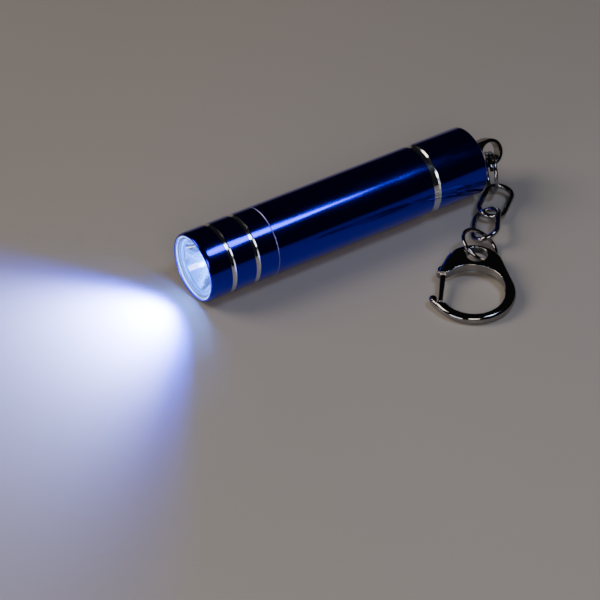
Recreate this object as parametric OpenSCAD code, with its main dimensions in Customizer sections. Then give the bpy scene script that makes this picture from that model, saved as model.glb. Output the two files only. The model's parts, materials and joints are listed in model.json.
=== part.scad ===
// Keychain flashlight: a turned barrel round one small cell, with a swivelling
// lug at the tail and a short chain to a snap clasp.
// The barrel's axis is X and the light shines toward -X. The origin is on the
// axis, at the middle of the grip tube.

/* [Cell] */
// Diameter of the cell
cell_d = 10.5; // [8:0.1:14]
// Length of the cell, over its nub
cell_l = 44.5; // [30:0.5:60]
// Diameter of the positive nub
nub_d = 3.8; // [2:0.1:5]
// Height of the positive nub
nub_h = 1.2; // [0.8:0.1:2]
// Thickness of the seal ring round the nub
cell_seal_t = 0.3; // [0.2:0.05:0.6]
// Thickness of the negative end disc
cell_base_t = 0.25; // [0.2:0.05:0.6]
// Radial space round the cell
cell_clearance = 0.2; // [0.1:0.05:0.5]

/* [Barrel] */
// Wall of the grip tube's threaded necks
neck_wall = 0.85; // [0.7:0.05:1.5]
// Wall of the head and the cap over the necks
shell_wall = 1.15; // [0.8:0.05:2]
// Running clearance of the threads, on the radius
thread_clearance = 0.05; // [0.02:0.01:0.1]
// Pitch of both threads
thread_pitch = 0.75; // [0.5:0.05:1]
// Depth of the thread grooves
thread_depth = 0.3; // [0.1:0.05:0.4]
// Length of each threaded neck
neck_l = 3.9; // [3.2:0.1:8]
// Length of the tail cap
cap_l = 13.6; // [11:0.1:20]
// Break on the sharp turned edges
edge = 0.15; // [0.05:0.05:0.3]
// Space between pieces that are stacked together
stack_gap = 0.05; // [0.02:0.01:0.1]

/* [Head] */
// Depth of the window below the rim
window_recess = 0.2; // [0.1:0.05:1]
// Thickness of the window
window_t = 1.2; // [0.8:0.1:2]
// Wall of the rim round the window
rim_wall = 0.6; // [0.4:0.05:1]
// Radial and axial size of the rim's rounded front
rim_round = [0.4, 1.2];
// Cross-section of the window's O-ring
window_ring_w = 1; // [0.6:0.1:1.6]
// Wall of the head round the reflector
head_wall = 1.3; // [1:0.05:2]
// Depth of the reflector
reflector_depth = 6.75; // [5:0.05:12]
// Thickness of the reflector's flange
flange_t = 0.8; // [0.5:0.1:1.5]
// Radius of the opening at the back of the reflector
reflector_throat_r = 2.75; // [2.7:0.05:3.5]
// Width of the reflector's front lip
reflector_lip = 0.3; // [0.2:0.05:0.6]
// Thickness of the inner shoulder behind the reflector
shoulder_t = 0.8; // [0.5:0.1:1.5]
// Wall that the inner shoulder adds inside the reflector bore
shoulder_w = 0.8; // [0.4:0.1:2]
// Thickness of the driver board
board_t = 1; // [0.8:0.1:1.6]
// Thickness of the ring that holds the board
retainer_t = 1; // [0.8:0.1:2]
// Radial width of the ring that holds the board
retainer_w = 1.9; // [1:0.1:2.4]
// Height of the contact pad at the back of the board
pad_h = 1.45; // [1.3:0.05:2.5]
// Diameter of the contact pad
pad_d = 4.4; // [3:0.1:5]
// Distance from the front to the first bright band
band_at = 5; // [3:0.1:7]
// Distance from the first bright band to the second
band_pitch = 5.7; // [3:0.1:7]
// Width of each bright band
band_w = 1; // [0.5:0.1:2]
// Depth of each bright band
band_depth = 0.25; // [0.1:0.05:0.4]

/* [Light] */
// Radius of the LED's body
led_r = 2.5; // [1.5:0.1:2.6]
// Radius of the LED's flange
led_flange_r = 2.9; // [2:0.1:3.5]
// Thickness of the LED's flange
led_flange_t = 0.7; // [0.5:0.05:0.75]
// Length of the LED from its tip to its flange
led_body_l = 5.2; // [3:0.1:6]
// Diameter of each LED lead
lead_d = 0.5; // [0.3:0.05:0.6]
// Distance between the LED leads
lead_pitch = 2.54; // [2:0.01:3]
// Clearance round each LED lead, on the radius
lead_clearance = 0.1; // [0.05:0.05:0.2]

/* [Tail] */
// Length of the installed spring
spring_l = 9.3; // [6:0.1:16]
// Wire of the spring
spring_wire = 0.7; // [0.4:0.05:0.9]
// Radius of the spring's coil at the cell
spring_front_r = 2.6; // [2:0.1:3]
// Radius of the spring's coil at the cap
spring_back_r = 4.6; // [3.8:0.1:4.9]
// Turns of the spring
spring_turns = 5; // [3:1:8]
// Thickness of the cap's end wall
end_wall = 2; // [1.2:0.1:4]
// Clearance between the spring and the pieces at its ends
spring_gap = 0.05; // [0.02:0.01:0.1]
// Width of the cap's bare band
cap_band_w = 1.5; // [0.5:0.1:3]
// Depth of the cap's bare band
cap_band_depth = 0.3; // [0.1:0.05:0.5]
// Rounding of the cap's rear edge
cap_round = 0.5; // [0.2:0.1:1.5]

/* [Lug] */
// Angle that the lug is turned about the barrel's axis at rest
lug_turn = 25; // [-90:1:90]
// Thickness of the lug
lug_t = 2.4; // [2:0.1:3]
// Radius of the lug round its eye
lug_r = 3; // [2.8:0.1:4]
// Radius of the lug's eye
lug_eye_r = 2.1; // [1.6:0.05:2.2]
// Bevel on the lug's edges
lug_bevel = 0.45; // [0.2:0.05:0.6]
// Distance from the cap to the middle of the eye
lug_eye_l = 5.55; // [4:0.05:8]
// Radius of the collar between the lug and the cap
collar_r = 2.6; // [2:0.1:4]
// Length of the collar
collar_l = 0.65; // [0.3:0.05:2]
// Radius of the lug's stem
stem_r = 1.5; // [1:0.1:2]
// Running clearance of the stem, on the radius
stem_clearance = 0.05; // [0.02:0.01:0.1]
// Radius of the washer that holds the stem inside the cap
washer_r = 3; // [2.2:0.1:3.6]
// Thickness of the washer
washer_t = 0.7; // [0.4:0.1:1]
// Clearance at both ends of the stem
swivel_gap = 0.05; // [0.02:0.01:0.1]

/* [Chain] */
// Wire of the two rings
ring_wire = 0.8; // [0.6:0.05:0.9]
// Inner diameter of the split ring
split_inner_d = 7.8; // [6:0.1:10]
// Inner diameter of the jump ring
jump_inner_d = 7.4; // [6:0.1:10]
// Wire of the links
link_wire = 1.1; // [0.8:0.05:1.2]
// Inner width of a link
link_inner_w = 4.4; // [4:0.1:6]
// Straight length of a link's sides
link_side_l = 5.4; // [3:0.1:8]

/* [Clasp] */
// Thickness of the clasp
clasp_t = 1.9; // [1.6:0.1:3]
// Radius of the clasp's hook end
hook_r = 8.8; // [8:0.1:11]
// Radius of the clasp's eye end
neck_end_r = 6.2; // [5:0.1:8]
// Distance between the middles of the two ends
clasp_body_l = 7.8; // [6:0.1:12]
// Radius of the opening's two ends
opening_r = 6.5; // [5:0.1:6.8]
// Width of the hook band at its far end
hook_band = 1.6; // [1.2:0.1:3]
// Distance between the middles of the opening's two ends
opening_l = 1.7; // [0:0.1:4]
// Radius of the clasp's eye
eye_r = 2.2; // [1.6:0.1:2.4]
// Width of metal between the eye and the clasp's tip
eye_rim = 1; // [0.8:0.1:2]
// Distance of the eye to the right of the middle line
eye_side = 0.5; // [-1:0.1:1]
// Bevel round the holes
hole_bevel = 0.45; // [0.1:0.05:0.5]
// Radius of the gate's pin
pin_r = 0.4; // [0.3:0.05:0.5]
// Running clearance of the gate on its pin, on the radius
pin_clearance = 0.04; // [0.02:0.01:0.1]
// Length of the gate, from its pin to the middle of its tip
gate_l = 9.6; // [8:0.1:12]
// Half width of the gate
gate_half_w = 0.5; // [0.4:0.05:0.8]
// Thickness of the gate's lever
gate_t = 1.3; // [1:0.1:1.6]
// Radius of the gate's root
gate_root_r = 1.2; // [1:0.05:1.4]
// Thickness of the gate's root
gate_root_t = 0.8; // [0.6:0.05:1]
// Clearance all round the gate
gate_gap = 0.1; // [0.05:0.05:0.2]
// Angle that the gate opens to
gate_open = 40; // [20:1:45]

/* [Hidden] */
$fn = 64;
eps = 0.01;

// Radii of the barrel, from the cell outwards
cell_r = cell_d / 2;
bore_r = cell_r + cell_clearance;
neck_r = bore_r + neck_wall;
thread_bore_r = neck_r + thread_clearance;
barrel_r = thread_bore_r + shell_wall;
window_seat_r = barrel_r - rim_wall;
cup_bore_r = barrel_r - head_wall;
shoulder_r = cup_bore_r - shoulder_w;
cavity_r = bore_r + 0.15;

// Distances along the head from its front, one piece behind the other
window_back = window_recess + window_t;
reflector_front = window_back + window_ring_w + 2 * stack_gap;
reflector_back = reflector_front + reflector_depth;
shoulder_front = reflector_back + stack_gap;
shoulder_back = shoulder_front + shoulder_t;
board_front = shoulder_back + stack_gap;
board_back = board_front + board_t;
retainer_front = board_back + stack_gap;
retainer_back = retainer_front + retainer_t;
neck_front = retainer_back + 2 * stack_gap;
head_l = neck_front + neck_l;
cell_front = board_back + pad_h + stack_gap;
cell_back = cell_front + cell_l;
spring_front = cell_back + spring_gap;
wall_front = spring_front + spring_l + 2 * spring_gap;
total_l = wall_front + end_wall;
grip_l = total_l - head_l - cap_l;

// Places along X
front_x = -grip_l / 2 - head_l;
tail_x = front_x + total_l;
settled_r = 7.5; // barrel radius that the chain's places go with
eye_x = tail_x + lug_eye_l + 2 * max(0, barrel_r - settled_r);

// Wire-centre radii of the rings and the links' ends
split_r = (split_inner_d + ring_wire) / 2;
jump_r = (jump_inner_d + ring_wire) / 2;
link_r = (link_inner_w + link_wire) / 2;

// The wire's second turn beside the split ring's first
split_overlap = [140, 235];
split_cross = 28;
split_end_gap = 10;
split_beside = ring_wire + 0.05;

// Where each piece of the chain lies at rest: its place from the lug's eye
// and its turn about X, Y and Z
split_place = [-1.54, -3.47, -2.79];
split_turn = [90.0, 0.0, 67.7];
link_1_place = [-4.52, -9.19, -5.58];
link_1_turn = [6.5, -0.5, 38.1];
link_2_place = [-11.11, -14.71, -5.58];
link_2_turn = [-25.3, 3.4, 50.7];
jump_place = [-17.03, -20.56, -4.91];
jump_turn = [30.9, 9.4, 30.4];
clasp_place = [-26.87, -31.72, -5.84];
clasp_tilt = 4.6;
clasp_yaw = 52.6;

// Plan of the clasp, along its middle line from the middle of the hook end
opening_back = hook_band + opening_r - hook_r;
eye_at = [clasp_body_l + neck_end_r - eye_rim - eye_r, -eye_side];
pivot = [6.2, 6.2];
gate_angle = 178.2;
gap_front = -4.2;
gap_back = 4.8;
nose = [[-4.7, 6.3], [-3.5, 7.5], [-2.5, 8.05]];
nose_r = 0.8;

// --- Shapes that repeat ---

// A turned piece: the outline's points are [radius, distance along X]
module turned(outline, at = 0) {
    translate([at, 0, 0])
        rotate([0, 90, 0])
            rotate_extrude($fn = 128)
                polygon(outline);
}

// A flat ring or disc along X
module washer(at, length, outer_r, inner_r = 0) {
    translate([at, 0, 0])
        rotate([0, 90, 0])
            difference() {
                cylinder(h = length, r = outer_r, $fn = 96);
                if (inner_r > 0)
                    translate([0, 0, -1])
                        cylinder(h = length + 2, r = inner_r, $fn = 96);
            }
}

// An O-ring squeezed between two radii, centred on a place along X
module o_ring(at, width, outer_r, inner_r) {
    height = outer_r - inner_r;
    corner = height * 0.3;
    turned([
        [inner_r, corner - width / 2],
        [inner_r + corner, -width / 2],
        [outer_r - corner, -width / 2],
        [outer_r, corner - width / 2],
        [outer_r, width / 2 - corner],
        [outer_r - corner, width / 2],
        [inner_r + corner, width / 2],
        [inner_r, width / 2 - corner]
    ], at);
}

// Part of a ring of round wire in the XY plane
module wire_arc(radius, wire, from = 0, sweep = 360, facets = 96) {
    rotate([0, 0, from])
        rotate_extrude(angle = sweep, $fn = facets)
            translate([radius, 0])
                circle(d = wire, $fn = min(facets, 32));
}

// Round wire wound about Z: each point of its path is [angle, radius, height]
module coil(path, wire, sides) {
    turns = len(path);
    points = [for (p = path, j = [0 : sides - 1])
        let (b = 360 * j / sides, r = p[1] + cos(b) * wire / 2)
        [r * cos(p[0]), r * sin(p[0]), p[2] + sin(b) * wire / 2]];
    skin = [for (i = [0 : turns - 2], j = [0 : sides - 1])
        let (k = (j + 1) % sides)
        [(i + 1) * sides + j, (i + 1) * sides + k, i * sides + k, i * sides + j]];
    first = [for (j = [0 : sides - 1]) j];
    last = [for (j = [sides - 1 : -1 : 0]) (turns - 1) * sides + j];
    polyhedron(points, concat(skin, [first, last]));
}

// Something on the chain, at its place from the lug's eye
module on_chain(place, turn) {
    translate([eye_x, 0, 0] + place)
        rotate(turn)
            children();
}

// A hole through the clasp with a bevel at each face
module beveled_hole(at, radius) {
    translate([at[0], at[1], 0]) {
        cylinder(h = clasp_t + 1, r = radius, center = true);
        for (side = [0, 180])
            rotate([side, 0, 0])
                translate([0, 0, clasp_t / 2 - hole_bevel])
                    cylinder(h = hole_bevel + eps, r1 = radius, r2 = radius + hole_bevel + eps);
    }
}

// A polygon's points round a tube neck from its root to its tip: an O-ring
// groove, then the thread's grooves. Distances run out from the root.
ring_groove = [0.45, 1.4];
ring_groove_depth = 0.4;
thread_from = 1.7;
thread_count = floor((neck_l - thread_from) / thread_pitch);
function neck_outline() = concat(
    [
        [neck_r, 0],
        [neck_r, ring_groove[0]],
        [neck_r - ring_groove_depth, ring_groove[0]],
        [neck_r - ring_groove_depth, ring_groove[1]],
        [neck_r, ring_groove[1]]
    ],
    [for (i = [0 : thread_count - 1], p = [[0, 0], [thread_depth, 0.4], [0, 0.8]])
        [neck_r - p[0], thread_from + (i + p[1]) * thread_pitch]],
    [[neck_r, neck_l - edge], [neck_r - edge, neck_l], [bore_r, neck_l]]
);
function reversed(list) = [for (i = [len(list) - 1 : -1 : 0]) list[i]];

// --- Head ---

module head_shell() {
    band_2_at = band_at + band_pitch;
    floor_r = barrel_r - band_depth;
    color("mediumblue")
        turned([
            [window_seat_r, 0.1],
            [window_seat_r + 0.1, 0],
            [barrel_r - rim_round[0], 0],
            [barrel_r - rim_round[0] * 0.3, rim_round[1] * 0.35],
            [barrel_r, rim_round[1]],
            [barrel_r, band_at],
            [floor_r, band_at],
            [floor_r, band_at + band_w],
            [barrel_r, band_at + band_w],
            [barrel_r, band_2_at],
            [floor_r, band_2_at],
            [floor_r, band_2_at + band_w],
            [barrel_r, band_2_at + band_w],
            [barrel_r, head_l - edge - stack_gap],
            [barrel_r - edge, head_l - stack_gap],
            [thread_bore_r, head_l - stack_gap],
            [thread_bore_r, shoulder_back],
            [shoulder_r, shoulder_back],
            [shoulder_r, shoulder_front],
            [cup_bore_r, shoulder_front],
            [cup_bore_r, reflector_front + flange_t + stack_gap],
            [window_seat_r, reflector_front + flange_t + stack_gap]
        ], front_x);
}

module window() {
    color("lightcyan", 0.4)
        washer(front_x + window_recess, window_t, window_seat_r - stack_gap);
}

module window_ring() {
    color("dimgray")
        o_ring(
            front_x + window_back + stack_gap + window_ring_w / 2,
            window_ring_w, window_seat_r - stack_gap, window_seat_r - window_ring_w
        );
}

// The cup is a parabola from the throat to the lip
module reflector() {
    cup_r = cup_bore_r - stack_gap;
    lip_r = cup_r - reflector_lip;
    focus = (lip_r * lip_r - reflector_throat_r * reflector_throat_r) / (4 * reflector_depth);
    steps = 12;
    back = reflector_back;
    curve = [for (i = [0 : steps])
        let (r = reflector_throat_r + (lip_r - reflector_throat_r) * i / steps)
        [r, back - (r * r - reflector_throat_r * reflector_throat_r) / (4 * focus)]];
    color("silver")
        turned(concat(curve, [
            [window_seat_r - stack_gap, reflector_front],
            [window_seat_r - stack_gap, reflector_front + flange_t],
            [cup_r, reflector_front + flange_t],
            [cup_r, back]
        ]), front_x);
}

module led() {
    flange_front = front_x + shoulder_front + stack_gap;
    tip = flange_front - led_body_l;
    color("lightskyblue", 0.7)
        union() {
            translate([tip + led_r, 0, 0]) {
                sphere(r = led_r);
                rotate([0, 90, 0])
                    cylinder(h = led_body_l - led_r + eps, r = led_r);
            }
            washer(flange_front, led_flange_t, led_flange_r);
        }
}

module led_lead(side) {
    start = shoulder_front + stack_gap + led_flange_t;
    color("silver")
        translate([front_x + start, side * lead_pitch / 2, 0])
            rotate([0, 90, 0])
                cylinder(h = board_back - stack_gap - start, d = lead_d, $fn = 32);
}

module driver_board() {
    color("darkgreen")
        translate([front_x + board_front, 0, 0])
            rotate([0, 90, 0])
                difference() {
                    cylinder(h = board_t, r = thread_bore_r - stack_gap);
                    for (side = [-1, 1])
                        translate([0, side * lead_pitch / 2, -1])
                            cylinder(h = board_t + 2, d = lead_d + 2 * lead_clearance, $fn = 32);
                }
}

module driver_chip() {
    chip = [0.6, 1.6, 1];
    middle = (pad_d / 2 + thread_bore_r - retainer_w) / 2;
    color("black")
        translate([front_x + board_back, -chip[1] / 2, middle - chip[2] / 2])
            cube(chip);
}

module contact_pad() {
    color("gold")
        washer(front_x + board_back, pad_h, pad_d / 2);
}

module retainer() {
    outer_r = thread_bore_r - stack_gap;
    color("goldenrod")
        washer(front_x + retainer_front, retainer_t, outer_r, outer_r - retainer_w);
}

// --- Grip ---

module grip_tube() {
    half = grip_l / 2;
    body = concat(
        [for (p = reversed(neck_outline())) [p[0], -half - p[1]]],
        [[barrel_r - edge, -half], [barrel_r, edge - half]],
        [[barrel_r, half - edge], [barrel_r - edge, half]],
        [for (p = neck_outline()) [p[0], half + p[1]]]
    );
    color("mediumblue")
        turned(body);
}

module neck_ring(side) {
    middle = grip_l / 2 + (ring_groove[0] + ring_groove[1]) / 2;
    width = ring_groove[1] - ring_groove[0] - 2 * stack_gap;
    color("dimgray")
        o_ring(side * middle, width, neck_r + thread_clearance / 2, neck_r - ring_groove_depth + 0.02);
}

// --- Cell ---

module cell_can() {
    start = cell_front + nub_h;
    crimp = 0.6;
    color("darkgray")
        turned([
            [0, start],
            [cell_r - crimp, start],
            [cell_r, start + crimp],
            [cell_r, cell_back - cell_base_t - crimp / 2],
            [cell_r - crimp / 2, cell_back - cell_base_t],
            [0, cell_back - cell_base_t]
        ], front_x);
}

module cell_nub() {
    color("silver")
        washer(front_x + cell_front, nub_h, nub_d / 2);
}

module cell_seal() {
    color("black")
        washer(front_x + cell_front + nub_h - cell_seal_t, cell_seal_t, cell_r - 1, nub_d / 2 + stack_gap);
}

module cell_base() {
    color("silver")
        washer(front_x + cell_back - cell_base_t, cell_base_t, cell_r - 0.8);
}

// --- Tail ---

module tail_cap() {
    seam = head_l + grip_l;
    thread_end = seam + neck_l + 0.4;
    band_r = barrel_r - cap_band_depth;
    round_steps = 4;
    rear = [for (i = [0 : round_steps])
        let (a = 90 * i / round_steps)
        [
            barrel_r - cap_round * (1 - cos(a)),
            total_l - cap_round * (1 - sin(a))
        ]];
    color("mediumblue")
        turned(concat(
            [
                [thread_bore_r, seam + stack_gap],
                [band_r, seam + stack_gap],
                [band_r, seam + cap_band_w],
                [barrel_r, seam + cap_band_w]
            ],
            rear,
            [
                [stem_r + stem_clearance, total_l],
                [stem_r + stem_clearance, wall_front],
                [cavity_r, wall_front],
                [cavity_r, thread_end],
                [thread_bore_r, thread_end]
            ]
        ), front_x);
}

// A cone of round wire whose first and last turns lie flat
module tail_spring() {
    steps = 20 * spring_turns;
    rise = spring_l - spring_wire;
    function climb(t) = min(max((t * spring_turns - 0.8) / (spring_turns - 1.6), 0), 1);
    color("silver")
        translate([front_x + spring_front + spring_wire / 2, 0, 0])
            rotate([0, 90, 0])
                coil([for (i = [0 : steps])
                    let (t = i / steps)
                    [
                        360 * spring_turns * t,
                        spring_front_r + (spring_back_r - spring_front_r) * t,
                        rise * climb(t)
                    ]], spring_wire, 8);
}

// The lug's flat faces across its thickness, as half of its cross-section
function lug_section(half_w) = [
    [0, -lug_t / 2],
    [half_w - lug_bevel, -lug_t / 2],
    [half_w, lug_bevel - lug_t / 2],
    [half_w, lug_t / 2 - lug_bevel],
    [half_w - lug_bevel, lug_t / 2],
    [0, lug_t / 2]
];

module lug() {
    tab_start = tail_x + collar_l + swivel_gap;
    stem_end = tail_x - end_wall - swivel_gap - washer_t;
    color("dimgray")
        rotate([-lug_turn, 0, 0])
            difference() {
                union() {
                    translate([eye_x, 0, 0])
                        rotate([90, 0, 0])
                            rotate_extrude()
                                polygon(lug_section(lug_r));
                    translate([tab_start, 0, 0])
                        for (side = [0, 1])
                            mirror([0, 0, side])
                                rotate([90, 0, 90])
                                    linear_extrude(eye_x - tab_start)
                                        polygon([for (p = lug_section(lug_r)) [p[1], p[0]]]);
                    washer(tail_x + swivel_gap, collar_l + eps, collar_r);
                    washer(stem_end, tab_start - stem_end + eps, stem_r);
                }
                translate([eye_x, 0, 0])
                    rotate([90, 0, 0]) {
                        cylinder(h = lug_t + 1, r = lug_eye_r, center = true);
                        for (side = [0, 180])
                            rotate([side, 0, 0])
                                translate([0, 0, lug_t / 2 - lug_bevel])
                                    cylinder(h = lug_bevel + eps, r1 = lug_eye_r, r2 = lug_eye_r + lug_bevel + eps);
                    }
            }
}

module swivel_washer() {
    color("silver")
        washer(tail_x - end_wall - swivel_gap - washer_t, washer_t, washer_r, stem_r);
}

// --- Chain ---

// One and a quarter turns of wire: what is over a turn lies beside the rest
module split_ring() {
    start = split_overlap[0];
    cross = split_overlap[1];
    steps = 90;
    total = 360 + cross - start - split_end_gap;
    function across(a) = min(max((a - cross) / split_cross, 0), 1);
    function ease(t) = t * t * (3 - 2 * t);
    color("slategray")
        on_chain(split_place, split_turn)
            coil([for (i = [0 : steps])
                let (a = start + total * i / steps)
                [a, split_r, split_beside * (ease(across(a)) - 1)]], ring_wire, 16);
}

module link(place, turn) {
    color("slategray")
        on_chain(place, turn)
            for (side = [0, 180])
                rotate([0, 0, side]) {
                    translate([link_side_l / 2, 0, 0])
                        wire_arc(link_r, link_wire, -90, 180);
                    translate([-link_side_l / 2, link_r, 0])
                        rotate([0, 90, 0])
                            cylinder(h = link_side_l, d = link_wire, $fn = 32);
                }
}

module jump_ring() {
    color("slategray")
        on_chain(jump_place, jump_turn)
            wire_arc(jump_r, ring_wire, 95, 359);
}

// --- Clasp ---

module at_clasp() {
    on_chain(clasp_place, [0, -clasp_tilt, clasp_yaw])
        children();
}

module at_pivot() {
    translate([pivot[0], pivot[1], 0])
        rotate([0, 0, gate_angle])
            children();
}

// The gate's flat round root
module gate_root(extra = 0) {
    cylinder(h = gate_root_t + 2 * extra, r = gate_root_r + extra, center = true);
}

// The thin stretch that joins the gate's root to its lever
module gate_tongue(extra = 0) {
    thickness = gate_root_t + 2 * extra;
    start = gate_root_r / 2;
    translate([start, -gate_half_w - extra, -thickness / 2])
        cube([gate_root_r + 1 - start, 2 * (gate_half_w + extra), thickness]);
}

// The gate's thick lever, from beside its root to its round tip
module gate_lever(thickness, extra = 0) {
    start = gate_root_r + 0.4 - extra;
    translate([start, -gate_half_w - extra, -thickness / 2])
        cube([gate_l - start, 2 * (gate_half_w + extra), thickness]);
    translate([gate_l, 0, 0])
        cylinder(h = thickness, r = gate_half_w + extra, center = true);
}

module clasp_body() {
    spring_pocket = [4, 1, gate_root_t + 2 * gate_gap];
    color("dimgray")
        at_clasp()
            difference() {
                union() {
                    difference() {
                        hull() {
                            wire_arc(hook_r - clasp_t / 2, clasp_t, facets = 40);
                            translate([clasp_body_l, 0, 0])
                                wire_arc(neck_end_r - clasp_t / 2, clasp_t, facets = 40);
                        }
                        for (at = [0, opening_l])
                            beveled_hole([opening_back + at, 0], opening_r);
                        translate([gap_front, pivot[1] / 2 + 1, -clasp_t])
                            cube([gap_back - gap_front, hook_r, 2 * clasp_t]);
                    }
                    for (i = [0, 1])
                        hull()
                            for (p = [nose[i], nose[i + 1]])
                                translate([p[0], p[1], 0])
                                    sphere(r = nose_r, $fn = 24);
                }
                beveled_hole(eye_at, eye_r);
                at_pivot() {
                    cylinder(h = clasp_t + 1, r = pin_r, center = true);
                    gate_root(gate_gap);
                    for (a = [0 : gate_open / 4 : gate_open])
                        rotate([0, 0, a]) {
                            gate_lever(clasp_t + 1, gate_gap);
                            gate_tongue(gate_gap);
                        }
                }
                translate([pivot[0], pivot[1] - gate_root_r - gate_gap, -spring_pocket[2] / 2])
                    cube(spring_pocket);
            }
}

module gate() {
    color("dimgray")
        at_clasp()
            at_pivot()
                difference() {
                    union() {
                        gate_root();
                        gate_tongue();
                        gate_lever(gate_t);
                    }
                    cylinder(h = clasp_t, r = pin_r + pin_clearance, center = true);
                }
}

module gate_pin() {
    color("silver")
        at_clasp()
            at_pivot()
                cylinder(h = clasp_t, r = pin_r, center = true);
}

// A thin leaf in its pocket beside the gate's root
module gate_spring() {
    leaf = [2.3, 0.25, gate_root_t];
    color("silver")
        at_clasp()
            translate([
                pivot[0] + gate_root_r + gate_gap,
                pivot[1] - gate_root_r,
                -leaf[2] / 2
            ])
                cube(leaf);
}

head_shell();
window();
window_ring();
reflector();
led();
led_lead(-1);  // led_lead_1
led_lead(1);  // led_lead_2
driver_board();
driver_chip();
contact_pad();
retainer();
grip_tube();
neck_ring(-1);  // head_ring
neck_ring(1);  // tail_ring
cell_can();
cell_nub();
cell_seal();
cell_base();
tail_cap();
tail_spring();
lug();
swivel_washer();
split_ring();
link(link_1_place, link_1_turn);  // link_1
link(link_2_place, link_2_turn);  // link_2
jump_ring();
clasp_body();
gate();
gate_pin();
gate_spring();
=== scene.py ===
import json
import math

import bpy
from mathutils import Euler, Matrix, Vector


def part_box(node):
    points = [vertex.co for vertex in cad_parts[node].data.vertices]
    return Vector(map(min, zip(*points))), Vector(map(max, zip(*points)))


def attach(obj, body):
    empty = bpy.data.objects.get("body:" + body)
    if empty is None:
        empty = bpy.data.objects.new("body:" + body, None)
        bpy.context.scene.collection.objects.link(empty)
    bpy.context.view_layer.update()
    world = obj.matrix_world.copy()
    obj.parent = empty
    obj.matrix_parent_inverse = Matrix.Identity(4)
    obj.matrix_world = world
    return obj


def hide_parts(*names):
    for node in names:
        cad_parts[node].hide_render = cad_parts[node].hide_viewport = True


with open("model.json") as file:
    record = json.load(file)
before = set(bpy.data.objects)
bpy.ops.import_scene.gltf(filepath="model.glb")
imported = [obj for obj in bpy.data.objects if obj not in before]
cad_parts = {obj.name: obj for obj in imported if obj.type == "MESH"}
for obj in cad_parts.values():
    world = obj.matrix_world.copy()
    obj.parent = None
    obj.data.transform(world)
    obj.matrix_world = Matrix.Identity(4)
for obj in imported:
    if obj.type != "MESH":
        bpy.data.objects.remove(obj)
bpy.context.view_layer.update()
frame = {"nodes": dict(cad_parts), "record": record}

mm = 0.001


# small helpers

def metres(values):
    return [v * mm for v in values]


def radians(angles):
    return [math.radians(a) for a in angles]


def clearSelection():
    if bpy.context.object and bpy.context.object.mode != "OBJECT":
        bpy.ops.object.mode_set(mode="OBJECT")
    bpy.ops.object.select_all(action="DESELECT")


def pick(piece):
    clearSelection()
    piece.select_set(True)
    bpy.context.view_layer.objects.active = piece


def settle():
    # puts the active piece's place, turn and size into its mesh
    bpy.ops.object.transform_apply(location=True, rotation=True, scale=True)
    return bpy.context.active_object


def place(piece, at, angles):
    piece.matrix_world = Matrix.Translation(at) @ Euler(radians(angles)).to_matrix().to_4x4()
    pick(piece)
    settle()


def applyModifier(piece, kind, **settings):
    pick(piece)
    modifier = piece.modifiers.new(kind.title(), kind)
    for key, value in settings.items():
        setattr(modifier, key, value)
    bpy.ops.object.modifier_apply(modifier=modifier.name)


def smooth(piece, degrees=35):
    pick(piece)
    bpy.ops.object.shade_smooth_by_angle(angle=math.radians(degrees))


def combine(piece, other, operation):
    applyModifier(piece, "BOOLEAN", operation=operation, object=other, solver="EXACT")
    pick(other)
    bpy.ops.object.delete()


# materials

def linearColour(hexCode):
    parts = [int(hexCode[i:i + 2], 16) / 255 for i in (0, 2, 4)]
    return [p / 12.92 if p <= 0.04045 else ((p + 0.055) / 1.055) ** 2.4 for p in parts] + [1.0]


def shaderOf(material):
    return material.node_tree.nodes["Principled BSDF"]


def newMaterial(name, colour, metallic=0.0, roughness=0.4):
    material = bpy.data.materials.new(name)
    material.use_nodes = True
    shader = shaderOf(material)
    shader.inputs["Base Color"].default_value = linearColour(colour)
    shader.inputs["Metallic"].default_value = metallic
    shader.inputs["Roughness"].default_value = roughness
    return material


def addNode(material, kind, links=(), feeds=(), **values):
    # links are (this node's input, where it comes from)
    # feeds are (this node's output, the shader's input that it goes to)
    tree = material.node_tree
    node = tree.nodes.new(kind)
    for key, value in values.items():
        if key in node.inputs:
            node.inputs[key].default_value = value
        else:
            setattr(node, key, value)
    for socket, source in links:
        tree.links.new(source, node.inputs[socket])
    for output, socket in feeds:
        tree.links.new(node.outputs[output], shaderOf(material).inputs[socket])
    return node


def objectCoordinates(material, stretch=(1, 1, 1)):
    source = addNode(material, "ShaderNodeTexCoord")
    mapping = addNode(material, "ShaderNodeMapping", Scale=stretch,
                      links=[("Vector", source.outputs["Object"])])
    return mapping.outputs["Vector"]


def addMottle(material, patch, low, high, stretch=(1, 1, 1)):
    # soft patches of more and less shine, patch millimetres across
    noise = addNode(material, "ShaderNodeTexNoise", Scale=1 / (patch * mm), Detail=4.0,
                    links=[("Vector", objectCoordinates(material, stretch))])
    usual = (0.3, 0.7)  # most of the noise lies between these
    addNode(material, "ShaderNodeMapRange", links=[("Value", noise.outputs["Fac"])],
            feeds=[("Result", "Roughness")],
            **{"From Min": usual[0], "From Max": usual[1], "To Min": low, "To Max": high})
    return noise


def addTurningLines(material, pitch, depth):
    # rings left by the lathe, across X, a little coarser than real ones so that they show
    bandsPerUnit = 20 / (2 * math.pi)  # what the wave texture draws at a scale of 1
    wave = addNode(material, "ShaderNodeTexWave", bands_direction="X", Distortion=0.4,
                   Scale=1 / (pitch * mm * bandsPerUnit), links=[("Vector", objectCoordinates(material))])
    addNode(material, "ShaderNodeBump", Strength=0.4, Distance=depth * mm,
            links=[("Height", wave.outputs["Fac"])], feeds=[("Normal", "Normal")])


def addGrain(material, noise, depth):
    # the same patches as the mottle, raised
    addNode(material, "ShaderNodeBump", Strength=0.5, Distance=depth * mm,
            links=[("Height", noise.outputs["Fac"])], feeds=[("Normal", "Normal")])


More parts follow.
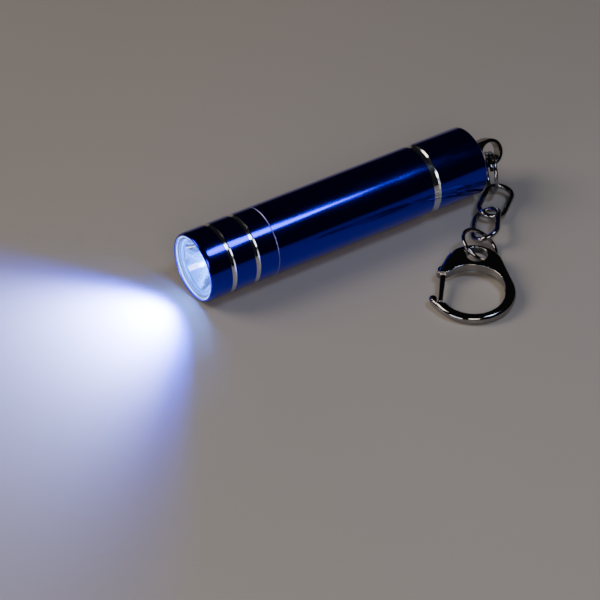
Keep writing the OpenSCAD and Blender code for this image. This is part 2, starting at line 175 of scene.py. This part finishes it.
def blueAnodised():  # deep royal blue, glassy, with faint turning lines
    material = newMaterial("anodised aluminium, blue", "1B02CC", metallic=1.0, roughness=0.14)
    shader = shaderOf(material)
    shader.inputs["Coat Weight"].default_value = 0.2
    shader.inputs["Coat Roughness"].default_value = 0.05
    shader.inputs["Coat IOR"].default_value = 1.6
    addMottle(material, 1.1, 0.11, 0.18, stretch=(0.15, 1, 1))
    addTurningLines(material, pitch=0.12, depth=0.0008)
    return material


def brightCut():  # bare cut aluminium: white highlights and grey rings
    material = newMaterial("bright-cut aluminium", "E4E5E8", metallic=1.0, roughness=0.15)
    addMottle(material, 0.67, 0.06, 0.15, stretch=(1, 0.2, 0.2))
    addTurningLines(material, pitch=0.1, depth=0.0006)
    return material


def paintedSeamHighlight():  # sharp rim at the joint, painted as a soft lavender line: a painted highlight
    material = newMaterial("pale lavender edge, painted highlight", "A9A4F0", metallic=1.0, roughness=0.45)
    addMottle(material, 0.67, 0.4, 0.5)
    return material


def blackNickel():  # dark mirror plating, a little worn
    material = newMaterial("black nickel plate", "9A9795", metallic=1.0, roughness=0.08)
    addMottle(material, 2, 0.06, 0.11)
    return material


def clearLens():  # polished acrylic: clear, with a thin sheen
    material = newMaterial("clear acrylic", "FFFFFF", roughness=0.02)
    shader = shaderOf(material)
    shader.inputs["Transmission Weight"].default_value = 1.0
    shader.inputs["IOR"].default_value = 1.49
    return material


def paintedGlowEdge():  # ground edge of the lens, given a painted glow for the light it carries round the rim
    material = newMaterial("ground acrylic edge, painted glow", "DCE9FF", roughness=0.4)
    shader = shaderOf(material)
    # the edge's emission is a painted glow; the lens is no lamp
    shader.inputs["Emission Color"].default_value = linearColour("9CC4FF")
    shader.inputs["Emission Strength"].default_value = 2.2
    return material


def reflectorMetal():  # vapour-metallised cup, with the moulding's faint orange peel
    material = newMaterial("metallised plastic", "F2F4F8", metallic=1.0, roughness=0.08)
    noise = addMottle(material, 1.4, 0.05, 0.14)
    addGrain(material, noise, 0.02)
    return material


def ledEpoxy():  # water-clear dome with a cold glow
    material = newMaterial("clear epoxy", "F4FAFF", roughness=0.03)
    shader = shaderOf(material)
    shader.inputs["Transmission Weight"].default_value = 0.9
    shader.inputs["IOR"].default_value = 1.5
    shader.inputs["Emission Color"].default_value = linearColour("6FA4FF")
    shader.inputs["Emission Strength"].default_value = 14.0
    return material


def litPhosphor():  # the chip, too bright to look at
    material = newMaterial("lit phosphor", "FFFFFF", roughness=0.5)
    shader = shaderOf(material)
    shader.inputs["Emission Color"].default_value = linearColour("CFE6FF")
    shader.inputs["Emission Strength"].default_value = 400.0
    return material


def innerMetal(name, colour, roughness):  # satin shine in soft patches
    material = newMaterial(name, colour, metallic=1.0, roughness=roughness)
    addMottle(material, 0.67, roughness * 0.7, roughness * 1.4)
    return material


def innerPlastic(name, colour, roughness):  # dull skin with a fine grain
    material = newMaterial(name, colour, roughness=roughness)
    noise = addMottle(material, 0.4, roughness * 0.8, roughness * 1.2)
    addGrain(material, noise, 0.01)
    return material


finishes = {
    "blue_anodised": blueAnodised(),
    "bright_cut": brightCut(),
    "painted_seam_highlight": paintedSeamHighlight(),
    "black_nickel": blackNickel(),
    "lens": clearLens(),
    "painted_glow_edge": paintedGlowEdge(),
    "reflector_metal": reflectorMetal(),
    "led_epoxy": ledEpoxy(),
    "led_die": litPhosphor(),
    "black_rubber": innerPlastic("nitrile rubber", "17181A", 0.55),
    "board_green": innerPlastic("solder mask on board", "0E4D2A", 0.3),
    "chip_black": innerPlastic("moulded epoxy", "1B1C1E", 0.5),
    "contact_brass": innerMetal("plated brass", "D9B45F", 0.25),
    "cell_label": innerPlastic("printed cell film", "5E6166", 0.3),
    "cell_steel": innerMetal("nickel-plated steel", "C9CACD", 0.22),
    "seal_plastic": innerPlastic("nylon", "202124", 0.5),
    "spring_steel": innerMetal("spring steel", "B9BBBE", 0.25),
    "tinned_wire": innerMetal("tinned copper", "C6C8CC", 0.3),
    "pin_steel": innerMetal("turned steel", "9C9DA0", 0.22),
}
print("materials made")


def dress(piece, *slots):
    piece.data.materials.clear()
    for slot in slots:
        piece.data.materials.append(finishes[slot])


for subpart in frame["record"]["subparts"]:
    dress(frame["nodes"][subpart["node"]], subpart["material_slot"])


# turned pieces: an outline is a list of (distance along X, radius), in millimetres

def turn(name, outline, steps=192, closed=True):
    points = [Vector((x * mm, 0, r * mm)) for x, r in outline]
    if closed:
        points.append(points[0])
    clearSelection()
    bpy.ops.mesh.primitive_plane_add(size=mm, location=(0, 0, 0))
    piece = bpy.context.active_object
    piece.name = name
    bpy.ops.object.mode_set(mode="EDIT")
    bpy.ops.mesh.merge(type="CENTER")
    bpy.ops.transform.translate(value=points[0])
    for start, end in zip(points, points[1:]):
        bpy.ops.mesh.extrude_region_move(TRANSFORM_OT_translate={"value": end - start})
    bpy.ops.mesh.select_all(action="SELECT")
    bpy.ops.mesh.remove_doubles(threshold=1e-7)
    bpy.ops.mesh.spin(steps=steps, angle=2 * math.pi, center=(0, 0, 0), axis=(1, 0, 0))
    bpy.ops.mesh.select_all(action="SELECT")
    bpy.ops.mesh.remove_doubles(threshold=1e-6)
    bpy.ops.mesh.normals_make_consistent(inside=False)
    bpy.ops.object.mode_set(mode="OBJECT")
    smooth(piece)
    return piece


def arc(x, r, width, height, start, end, count=6):
    # points of an ellipse round (x, r), from the start angle to the end one
    angles = [math.radians(start + (end - start) * i / count) for i in range(count + 1)]
    return [(x + width * math.cos(a), r + height * math.sin(a)) for a in angles]


slack = 0.01  # how far past a ring's edge paint still takes, in millimetres


def paintRings(piece, rings, slot=1):
    # rings are (from, to) along X, in millimetres
    for face in piece.data.polygons:
        x = face.center.x / mm
        if any(low <= x <= high for low, high in rings):
            face.material_index = slot


def boxMm(node):
    low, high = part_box(node)
    return [v / mm for v in low], [v / mm for v in high]


headLow, headHigh = boxMm("head_shell")
tubeLow, tubeHigh = boxMm("grip_tube")
capLow, capHigh = boxMm("tail_cap")
front, headBack = headLow[0], headHigh[0]
capFront, capBack = capLow[0], capHigh[0]
barrelR = headHigh[2]

# head shell: rounded rim, two bright bands, a thin edge at the joint with a painted highlight
head = {
    "rimWall": 0.6, "rimWide": 0.4, "rimLong": 1.2,
    "bands": (5.0, 10.7), "bandWidth": 1.0, "bandDepth": 0.25, "bandSlope": 0.2,
    "edge": 0.08, "boreR": 6.2, "seatDepth": 3.3,
}
bands = [(front + at, front + at + head["bandWidth"]) for at in head["bands"]]
floorR = barrelR - head["bandDepth"]
outline = [(front, barrelR - head["rimWall"])]
rimLong, rimWide = head["rimLong"], head["rimWide"]
outline += arc(front + rimLong, barrelR - rimWide, rimLong, rimWide, 180, 90)
for low, high in bands:
    outline += [
        (low, barrelR), (low + head["bandSlope"], floorR),
        (high - head["bandSlope"], floorR), (high, barrelR),
    ]
outline += [
    (headBack - head["edge"], barrelR), (headBack, barrelR - head["edge"]),
    (headBack, head["boreR"]), (front + head["seatDepth"], head["boreR"]),
    (front + head["seatDepth"], barrelR - head["rimWall"]),
]
headShell = turn("headShell", outline)
dress(headShell, "blue_anodised", "bright_cut", "painted_seam_highlight")
paintRings(headShell, bands)
# the chamfer at the joint gets the painted highlight
paintRings(headShell, [(headBack - head["edge"], headBack + slack)], slot=2)
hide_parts("head_shell")
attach(headShell, "head")

# grip tube: plain outside, with a neck at each end that has a ring groove and threads
grip = {
    "gap": 0.05, "boreR": 5.45, "backEdge": 0.12,
    "neckR": 6.3, "neckLong": 3.9, "neckEdge": 0.15,
    "ringFrom": 0.45, "ringTo": 1.4, "ringR": 5.9,
    "threadFrom": 1.7, "pitch": 0.75, "threadDepth": 0.3,
}
gripFrom, gripTo = headBack + grip["gap"], capFront - grip["gap"]


def neck(root, way):
    # from the root outwards: ring groove, then the thread's grooves
    neckR, deep = grip["neckR"], grip["threadDepth"]
    points = [
        (0, neckR), (grip["ringFrom"], neckR), (grip["ringFrom"], grip["ringR"]),
        (grip["ringTo"], grip["ringR"]), (grip["ringTo"], neckR),
    ]
    at = grip["threadFrom"]
    while at + grip["pitch"] < grip["neckLong"]:
        points += [(at, neckR), (at + deep, neckR - deep), (at + 2 * deep, neckR)]
        at += grip["pitch"]
    points += [
        (grip["neckLong"] - grip["neckEdge"], neckR), (grip["neckLong"], neckR - grip["neckEdge"]),
        (grip["neckLong"], grip["boreR"]),
    ]
    return [(root + way * x, r) for x, r in points]


outline = neck(gripFrom, -1)[::-1]
outline += [(gripFrom, barrelR - head["edge"]), (gripFrom + head["edge"], barrelR)]
outline += [(gripTo - grip["backEdge"], barrelR), (gripTo, barrelR - grip["backEdge"])]
outline += neck(gripTo, 1)
gripTube = turn("gripTube", outline)
dress(gripTube, "blue_anodised", "bright_cut", "painted_seam_highlight")
paintRings(gripTube, [
    (tubeLow[0] - slack, gripFrom - slack), (gripTo - grip["backEdge"] - slack, tubeHigh[0] + slack)
])
# the chamfer at the joint gets the painted highlight
paintRings(gripTube, [(gripFrom - slack, gripFrom + head["edge"] + slack)], slot=2)
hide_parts("grip_tube")
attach(gripTube, "grip")

# tail cap: a bright band at its front, a rounded back with a hole for the lug's stem
cap = {
    "bandWidth": 1.5, "bandDepth": 0.3, "bandSlope": 0.25, "round": 0.5,
    "boreR": 6.35, "boreDepth": 4.25, "cavityR": 5.6, "wall": 2.0, "stemR": 1.55,
}
bandBack, wallFront = capFront + cap["bandWidth"], capBack - cap["wall"]
floorR = barrelR - cap["bandDepth"]
outline = [
    (capFront, cap["boreR"]), (capFront, floorR),
    (bandBack - cap["bandSlope"], floorR), (bandBack, barrelR),
]
outline += arc(capBack - cap["round"], barrelR - cap["round"], cap["round"], cap["round"], 90, 0)
outline += [
    (capBack, cap["stemR"]), (wallFront, cap["stemR"]), (wallFront, cap["cavityR"]),
    (capFront + cap["boreDepth"], cap["cavityR"]), (capFront + cap["boreDepth"], cap["boreR"]),
]
tailCap = turn("tailCap", outline)
dress(tailCap, "blue_anodised", "bright_cut")
paintRings(tailCap, [(capFront - slack, bandBack + slack)])
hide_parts("tail_cap")
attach(tailCap, "tail")
print("barrel turned")

# reflector cup: a parabola from the throat to the lip
cupLow, cupHigh = boxMm("reflector")
cup = {"lipR": 5.85, "throatR": 2.75, "bodyR": 6.15, "flange": 0.8, "points": 24}
cupDepth = cupHigh[0] - cupLow[0]
outline = []
for i in range(cup["points"] + 1):
    r = cup["throatR"] + (cup["lipR"] - cup["throatR"]) * i / cup["points"]
    fall = (r * r - cup["throatR"] ** 2) / (cup["lipR"] ** 2 - cup["throatR"] ** 2)
    outline.append((cupHigh[0] - cupDepth * fall, r))
outline += [
    (cupLow[0], cupHigh[2]), (cupLow[0] + cup["flange"], cupHigh[2]),
    (cupLow[0] + cup["flange"], cup["bodyR"]), (cupHigh[0], cup["bodyR"]),
]
reflectorCup = turn("reflectorCup", outline, steps=160)
dress(reflectorCup, "reflector_metal")
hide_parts("reflector")
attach(reflectorCup, "head")

# window: a flat disc whose bevelled edge has a painted glow
windowLow, windowHigh = boxMm("window")
disc = {"bevel": 0.28, "paintedGlowWidth": 0.224}
window = turn("windowDisc", [
    (windowLow[0], 0), (windowLow[0], windowHigh[2] - disc["bevel"]),
    (windowLow[0] + disc["bevel"], windowHigh[2]), (windowHigh[0], windowHigh[2]), (windowHigh[0], 0)
], closed=False)
dress(window, "lens", "painted_glow_edge")
# faces near the rim get the painted glow
for face in window.data.polygons:
    if math.hypot(face.center.y, face.center.z) > (windowHigh[2] - disc["paintedGlowWidth"]) * mm:
        face.material_index = 1
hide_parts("window")
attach(window, "head")

# LED: a clear dome over a chip that sits in a small cup on its post
ledLow, ledHigh = boxMm("led")
led = {
    "bodyR": 2.5, "flangeR": 2.9, "flange": 0.7,
    "dieR": 0.55, "dieAt": 3.6, "dieFront": 0.12, "dieFoot": 0.02, "dieEdge": 0.05,
    "lip": 0.25, "flare": 0.3, "wall": 0.1, "cupBack": 0.5, "postR": 0.3, "postShort": 0.3,
}
domeAt, flangeAt = ledLow[0] + led["bodyR"], ledHigh[0] - led["flange"]
outline = [(ledLow[0], 0)] + arc(domeAt, 0, led["bodyR"], led["bodyR"], 180, 90, 16)[1:]
outline += [
    (flangeAt, led["bodyR"]), (flangeAt, led["flangeR"]),
    (ledHigh[0], led["flangeR"]), (ledHigh[0], 0),
]
ledDome = turn("ledDome", outline, steps=96, closed=False)
dress(ledDome, "led_epoxy")
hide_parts("led")
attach(ledDome, "head")

dieX, dieR, postEnd = ledLow[0] + led["dieAt"], led["dieR"], ledHigh[0] - led["postShort"]
lipX, lipR = dieX - led["lip"], dieR + led["flare"]
ledCup = turn("ledCup", [
    (dieX, 0), (dieX, dieR), (lipX, lipR), (lipX, lipR + led["wall"]),
    (dieX + led["cupBack"], lipR + led["wall"] / 2), (postEnd, led["postR"]), (postEnd, 0)
], steps=48, closed=False)
dress(ledCup, "tinned_wire")
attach(ledCup, "head")

dieFront, dieFoot = dieX - led["dieFront"], dieX - led["dieFoot"]
die = turn("ledDie", [
    (dieFront, 0), (dieFront, dieR - led["dieEdge"]), (dieFoot, dieR), (dieFoot, 0)
], steps=32, closed=False)
dress(die, "led_die")
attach(die, "head")
print("optics made")


# pieces rounded from plain blocks

def rounded(piece, voxel, rounds):
    applyModifier(piece, "REMESH", mode="VOXEL", voxel_size=voxel * mm)
    applyModifier(piece, "SMOOTH", factor=0.5, iterations=rounds)
    smooth(piece, 180)


def softenEdges(piece, width, segments):
    applyModifier(piece, "BEVEL", width=width * mm, segments=segments, limit_method="ANGLE",
                  angle_limit=math.radians(40))


def cylinder(radius, length, at=(0, 0, 0), angles=(0, 0, 0), sides=96):
    clearSelection()
    bpy.ops.mesh.primitive_cylinder_add(vertices=sides, radius=radius * mm, depth=length * mm,
                                        location=metres(at), rotation=radians(angles))
    return settle()


def block(size, at=(0, 0, 0), angles=(0, 0, 0)):
    clearSelection()
    bpy.ops.mesh.primitive_cube_add(size=1, scale=metres(size),
                                    location=metres(at), rotation=radians(angles))
    return settle()


def ball(radius, at):
    clearSelection()
    bpy.ops.mesh.primitive_uv_sphere_add(segments=32, ring_count=16,
                                         radius=radius * mm, location=metres(at))
    return settle()


acrossY, alongX = (90, 0, 0), (0, 90, 0)  # which way a cylinder's length lies

# lug: a tab with an eye, on a collar and a stem; cuts is the cutters' length
lug = {
    "turn": -25, "thick": 2.4, "outerR": 3.0, "eyeR": 2.15, "round": 0.45, "cuts": 4,
    "collarR": 2.6, "collar": 0.7, "stemR": 1.5, "voxel": 0.1,
}
lugLow, lugHigh = boxMm("lug")
eye = Vector((lugHigh[0] - lug["outerR"], 0, 0)) * mm
tabLength = eye.x / mm - capBack - lug["collar"]
stemEnd = lugLow[0] - eye.x / mm
stemLength = -tabLength - stemEnd
tab = cylinder(lug["outerR"], lug["thick"], angles=acrossY)
combine(tab, block((tabLength, lug["thick"], 2 * lug["outerR"]), at=(-tabLength / 2, 0, 0)), "UNION")
softenEdges(tab, lug["round"], 4)
combine(tab, cylinder(lug["eyeR"], lug["cuts"], angles=acrossY), "DIFFERENCE")
for radius, length, middle in (
    (lug["collarR"], lug["collar"], -tabLength - lug["collar"] / 2),
    (lug["stemR"], stemLength, stemEnd + stemLength / 2),
):
    combine(tab, cylinder(radius, length, at=(middle, 0, 0), angles=alongX), "UNION")
rounded(tab, lug["voxel"], 10)
tab.name = "lugTab"
place(tab, eye, (lug["turn"], 0, 0))
dress(tab, "black_nickel")
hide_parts("lug")
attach(tab, "lug")

# rings and links: where each lies, from the lug's eye, and its turn
chain = {
    "split_ring": ((-1.54, -3.47, -2.79), (90, 0, 67.7)),
    "link_1": ((-4.52, -9.19, -5.58), (6.5, -0.5, 38.1)),
    "link_2": ((-11.11, -14.71, -5.58), (-25.3, 3.4, 50.7)),
    "jump_ring": ((-17.03, -20.56, -4.91), (30.9, 9.4, 30.4)),
}


def chainPiece(piece, node):
    at, angles = chain[node]
    place(piece, eye + Vector(at) * mm, angles)
    dress(piece, "black_nickel")
    smooth(piece, 60)
    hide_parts(node)
    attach(piece, node)


def wireEnd(radius, wireD, start, height=0.0):
    # the round end of a wire, ready to be spun about Z
    clearSelection()
    bpy.ops.mesh.primitive_circle_add(vertices=24, radius=wireD / 2 * mm, fill_type="NGON",
                                      location=(radius * mm, 0, 0), rotation=radians((90, 0, 0)))
    piece = settle()
    bpy.ops.object.mode_set(mode="EDIT")
    bpy.ops.mesh.select_all(action="SELECT")
    bpy.ops.transform.translate(value=(0, 0, height * mm))
    bpy.ops.transform.rotate(value=-math.radians(start), orient_axis="Z", center_override=(0, 0, 0))
    return piece


def spinWire(sweep, steps):
    # carries the selected end on round Z
    bpy.ops.mesh.spin(steps=steps, angle=math.radians(sweep), center=(0, 0, 0), axis=(0, 0, 1))


def climbWire(sweep, steps, climb):
    # the same a step at a time, rising by climb in all
    for step in range(steps):
        spinWire(sweep / steps, 1)
        bpy.ops.transform.translate(value=(0, 0, climb / steps * mm))


def finishWire(piece, name):
    bpy.ops.mesh.select_all(action="SELECT")
    bpy.ops.mesh.remove_doubles(threshold=1e-7)
    bpy.ops.mesh.normals_make_consistent(inside=False)
    bpy.ops.object.mode_set(mode="OBJECT")
    piece.name = name


# split ring: one turn beside the other, with the cross-over between them
split = {
    "wire": 0.8, "ringR": 4.3, "from": 140, "beside": 0.85,
    "cross": 235, "crossSweep": 28, "rest": 322,
}
ring = wireEnd(split["ringR"], split["wire"], split["from"], -split["beside"])
spinWire(split["cross"] - split["from"], 24)
climbWire(split["crossSweep"], 12, split["beside"])
spinWire(split["rest"], 80)
finishWire(ring, "splitRing")
chainPiece(ring, "split_ring")

# jump ring: its ends butt, a degree apart
jump = {"wire": 0.8, "ringR": 4.1, "from": 95, "sweep": 359}
ring = wireEnd(jump["ringR"], jump["wire"], jump["from"])
spinWire(jump["sweep"], 96)
finishWire(ring, "jumpRing")
chainPiece(ring, "jump_ring")

# links: a round ring drawn out along X by the length of its straight sides
oval = {"wire": 1.1, "endR": 2.75, "side": 5.4}
clearSelection()
bpy.ops.mesh.primitive_torus_add(major_segments=96, minor_segments=28, major_radius=oval["endR"] * mm,
                                 minor_radius=oval["wire"] / 2 * mm, location=(0, 0, 0))
link = bpy.context.active_object
for way in (1, -1):
    bpy.ops.object.mode_set(mode="EDIT")
    bpy.ops.mesh.select_all(action="DESELECT")
    bpy.ops.object.mode_set(mode="OBJECT")
    for vertex in link.data.vertices:
        onMiddle = abs(vertex.co.x) <= 1e-6
        vertex.select = way > 0 if onMiddle else vertex.co.x * way > 0
    bpy.ops.object.mode_set(mode="EDIT")
    bpy.ops.transform.translate(value=(way * oval["side"] / 2 * mm, 0, 0))
    bpy.ops.object.mode_set(mode="OBJECT")
second = link.copy()
second.data = link.data.copy()
bpy.context.collection.objects.link(second)
link.name, second.name = "link1", "link2"
chainPiece(link, "link_1")
chainPiece(second, "link_2")
print("chain made")

# the clasp, in its own plan: U toward its eye, V across, then laid where it rests
clasp = {
    "at": (-26.87, -31.72, -5.84), "turn": (0, -4.6, 52.6), "thick": 1.9, "cuts": 5,
    "hookR": 8.8, "neckR": 6.2, "length": 7.8, "round": 0.8,
    "openR": 6.5, "openAt": (-0.7, 1.0), "eyeAt": (10.8, -0.5), "eyeR": 2.2,
    "gapFrom": -4.2, "gapTo": 4.8, "gapLow": 4.1, "gapHigh": 12.1,
    "pivot": (6.2, 6.2), "gateAngle": 178.2, "gateLength": 9.6, "gateOpens": 40,
    "slotFrom": 1.5, "slotPast": 0.6, "slotWide": 1.5, "slotDeep": 4, "voxel": 0.11,
}
claspAt = eye + Vector(clasp["at"]) * mm

plate = cylinder(clasp["hookR"], clasp["thick"], sides=128)
cylinder(clasp["neckR"], clasp["thick"], at=(clasp["length"], 0, 0), sides=128)
plate.select_set(True)  # beside the narrow end just made, to be joined with it
bpy.context.view_layer.objects.active = plate
bpy.ops.object.join()
bpy.ops.object.mode_set(mode="EDIT")
bpy.ops.mesh.select_all(action="SELECT")
bpy.ops.mesh.convex_hull()
bpy.ops.mesh.select_all(action="SELECT")
bpy.ops.mesh.dissolve_limited(angle_limit=math.radians(0.5))
bpy.ops.object.mode_set(mode="OBJECT")
softenEdges(plate, clasp["round"], 6)
for u in clasp["openAt"]:
    combine(plate, cylinder(clasp["openR"], clasp["cuts"], at=(u, 0, 0), sides=128), "DIFFERENCE")
gapSize = (clasp["gapTo"] - clasp["gapFrom"], clasp["gapHigh"] - clasp["gapLow"], clasp["cuts"])
gapMiddle = ((clasp["gapFrom"] + clasp["gapTo"]) / 2, (clasp["gapLow"] + clasp["gapHigh"]) / 2, 0)
combine(plate, block(gapSize, at=gapMiddle), "DIFFERENCE")

# the hook's nose, as balls along its curve: U, V and radius
nose = [
    (-4.7, 6.3, 1.02), (-4.1, 6.95, 0.98), (-3.5, 7.5, 0.94), (-3.0, 7.8, 0.9), (-2.5, 8.05, 0.86),
]
for u, v, radius in nose:
    combine(plate, ball(radius, at=(u, v, 0)), "UNION")
combine(plate, cylinder(clasp["eyeR"], clasp["cuts"], at=(*clasp["eyeAt"], 0)), "DIFFERENCE")

# room for the gate as it swings
pivotU, pivotV = clasp["pivot"]
slotTo = clasp["gateLength"] + clasp["slotPast"]
slotSize = (slotTo - clasp["slotFrom"], clasp["slotWide"], clasp["slotDeep"])
reach = (clasp["slotFrom"] + slotTo) / 2
for opened in range(0, clasp["gateOpens"] + 1, 10):
    swung = clasp["gateAngle"] + opened
    along = Vector((math.cos(math.radians(swung)), math.sin(math.radians(swung)), 0))
    slotMiddle = Vector((pivotU, pivotV, 0)) + reach * along
    combine(plate, block(slotSize, at=slotMiddle, angles=(0, 0, swung)), "DIFFERENCE")
rounded(plate, clasp["voxel"], 8)
plate.name = "claspPlate"
place(plate, claspAt, clasp["turn"])
dress(plate, "black_nickel")
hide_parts("clasp_body")
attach(plate, "clasp")

# gate: a lever that narrows to its tip, with a thin round root on the pin
gate = {
    "from": 1.55, "past": 0.45, "halfWide": 0.62, "taper": 0.7, "thick": 1.3, "round": 0.42,
    "rootR": 1.2, "rootLong": 2.4, "rootThick": 0.8,
}
gateTo = clasp["gateLength"] + gate["past"]
gateMiddle = (gate["from"] + gateTo) / 2
lever = block((gateTo - gate["from"], 2 * gate["halfWide"], gate["thick"]), at=(gateMiddle, 0, 0))
bpy.ops.object.mode_set(mode="EDIT")
bpy.ops.mesh.select_all(action="DESELECT")
bpy.ops.object.mode_set(mode="OBJECT")
for vertex in lever.data.vertices:
    vertex.select = vertex.co.x > gateMiddle * mm
bpy.ops.object.mode_set(mode="EDIT")
bpy.ops.transform.resize(value=(1, gate["taper"], 1), center_override=(0, 0, 0))
bpy.ops.object.mode_set(mode="OBJECT")
softenEdges(lever, gate["round"], 6)
root = block((gate["rootLong"], 2 * gate["halfWide"], gate["rootThick"]), at=(gate["rootLong"] / 2, 0, 0))
combine(lever, root, "UNION")
combine(lever, cylinder(gate["rootR"], gate["rootThick"]), "UNION")
smooth(lever, 30)
lever.name = "gateLever"
place(lever, Vector((pivotU, pivotV, 0)) * mm, (0, 0, clasp["gateAngle"]))
place(lever, claspAt, clasp["turn"])
dress(lever, "black_nickel")
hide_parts("gate")
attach(lever, "gate")
print("clasp made")

# camera
camera = {
    "at": (-263.75, -386.87, 345.67), "turn": (51.796, 0, -33.306),
    "lens": 168.0, "shift": -0.005,
}
clearSelection()
bpy.ops.object.camera_add(location=metres(camera["at"]), rotation=radians(camera["turn"]))
viewer = bpy.context.active_object
viewer.data.lens = camera["lens"]
viewer.data.sensor_width = 36
viewer.data.shift_y = camera["shift"]
viewer.data.clip_start = 10 * mm
bpy.context.scene.camera = viewer

# floor, just under the barrel
stage = {"floor": "B5AFA8", "side": 6, "below": 0.02, "air": "8F959E", "airStrength": 0.03}
clearSelection()
floorAt = (0, 0, headLow[2] - stage["below"])
bpy.ops.mesh.primitive_plane_add(size=stage["side"], location=metres(floorAt))
floor = bpy.context.active_object
floor.name = "floor"
floor.data.materials.append(newMaterial("matte board", stage["floor"], roughness=0.4))

world = bpy.data.worlds.new("studio")
bpy.context.scene.world = world
world.use_nodes = True
background = world.node_tree.nodes["Background"]
background.inputs["Color"].default_value = linearColour(stage["air"])
background.inputs["Strength"].default_value = stage["airStrength"]


# lights: places and sizes in millimetres, power in watts

def areaLight(name, at, size, power, colour, toward=(0, 0, 0)):
    clearSelection()
    bpy.ops.object.light_add(type="AREA", location=metres(at))
    lamp = bpy.context.active_object
    lamp.name = name
    lamp.data.shape = "RECTANGLE"
    lamp.data.size, lamp.data.size_y = metres(size)
    lamp.data.energy = power
    lamp.data.color = linearColour(colour)[:3]
    aim = Vector(toward) * mm - lamp.location
    lamp.rotation_euler = aim.to_track_quat("-Z", "Y").to_euler()


# a main light, one on the table in front, two small streaks on the barrel, a low one on the chain
areaLight("keyBox", (-560, 420, 560), (460, 460), 3.6, "FFF0E0")
areaLight("nearBox", (-230, -430, 330), (220, 220), 0.7, "FFF3E6", toward=(20, -220, 0))
areaLight("headStrip", (84, -108, 249), (70, 62), 0.17, "C9DAFF", toward=(-25, 0, 0))
areaLight("bodyStrip", (122, -108, 249), (40, 22), 0.012, "C9DAFF", toward=(10, 0, 0))
areaLight("sideBox", (-330, -120, 60), (200, 60), 0.25, "EEF3FF", toward=(10, -30, 0))

# the beam: a white core in a wider blue fringe, dipping a little to the floor
beam = {"ahead": 1, "dip": 8, "soft": 2}


def beamLight(name, power, colour, spread, blend):
    clearSelection()
    bpy.ops.object.light_add(type="SPOT", location=metres((front - beam["ahead"], 0, 0)),
                             rotation=radians((0, 90 - beam["dip"], 0)))
    lamp = bpy.context.active_object
    lamp.name = name
    lamp.data.energy = power
    lamp.data.spot_size = math.radians(spread)
    lamp.data.spot_blend = blend
    lamp.data.shadow_soft_size = beam["soft"] * mm
    lamp.data.color = linearColour(colour)[:3]


beamLight("beamCore", 1.1, "B4C4FF", 104, 0.9)
beamLight("beamFringe", 0.9, "2C3CFF", 122, 0.7)

# blue glow inside the cup, just ahead of the dome
cupGlow = {"ahead": 0.8, "power": 0.5, "soft": 0.5, "colour": "2A74FF"}
clearSelection()
bpy.ops.object.light_add(type="POINT", location=metres((ledLow[0] - cupGlow["ahead"], 0, 0)))
glow = bpy.context.active_object
glow.name = "cupGlow"
glow.data.energy = cupGlow["power"]
glow.data.shadow_soft_size = cupGlow["soft"] * mm
glow.data.color = linearColour(cupGlow["colour"])[:3]
print("light set")
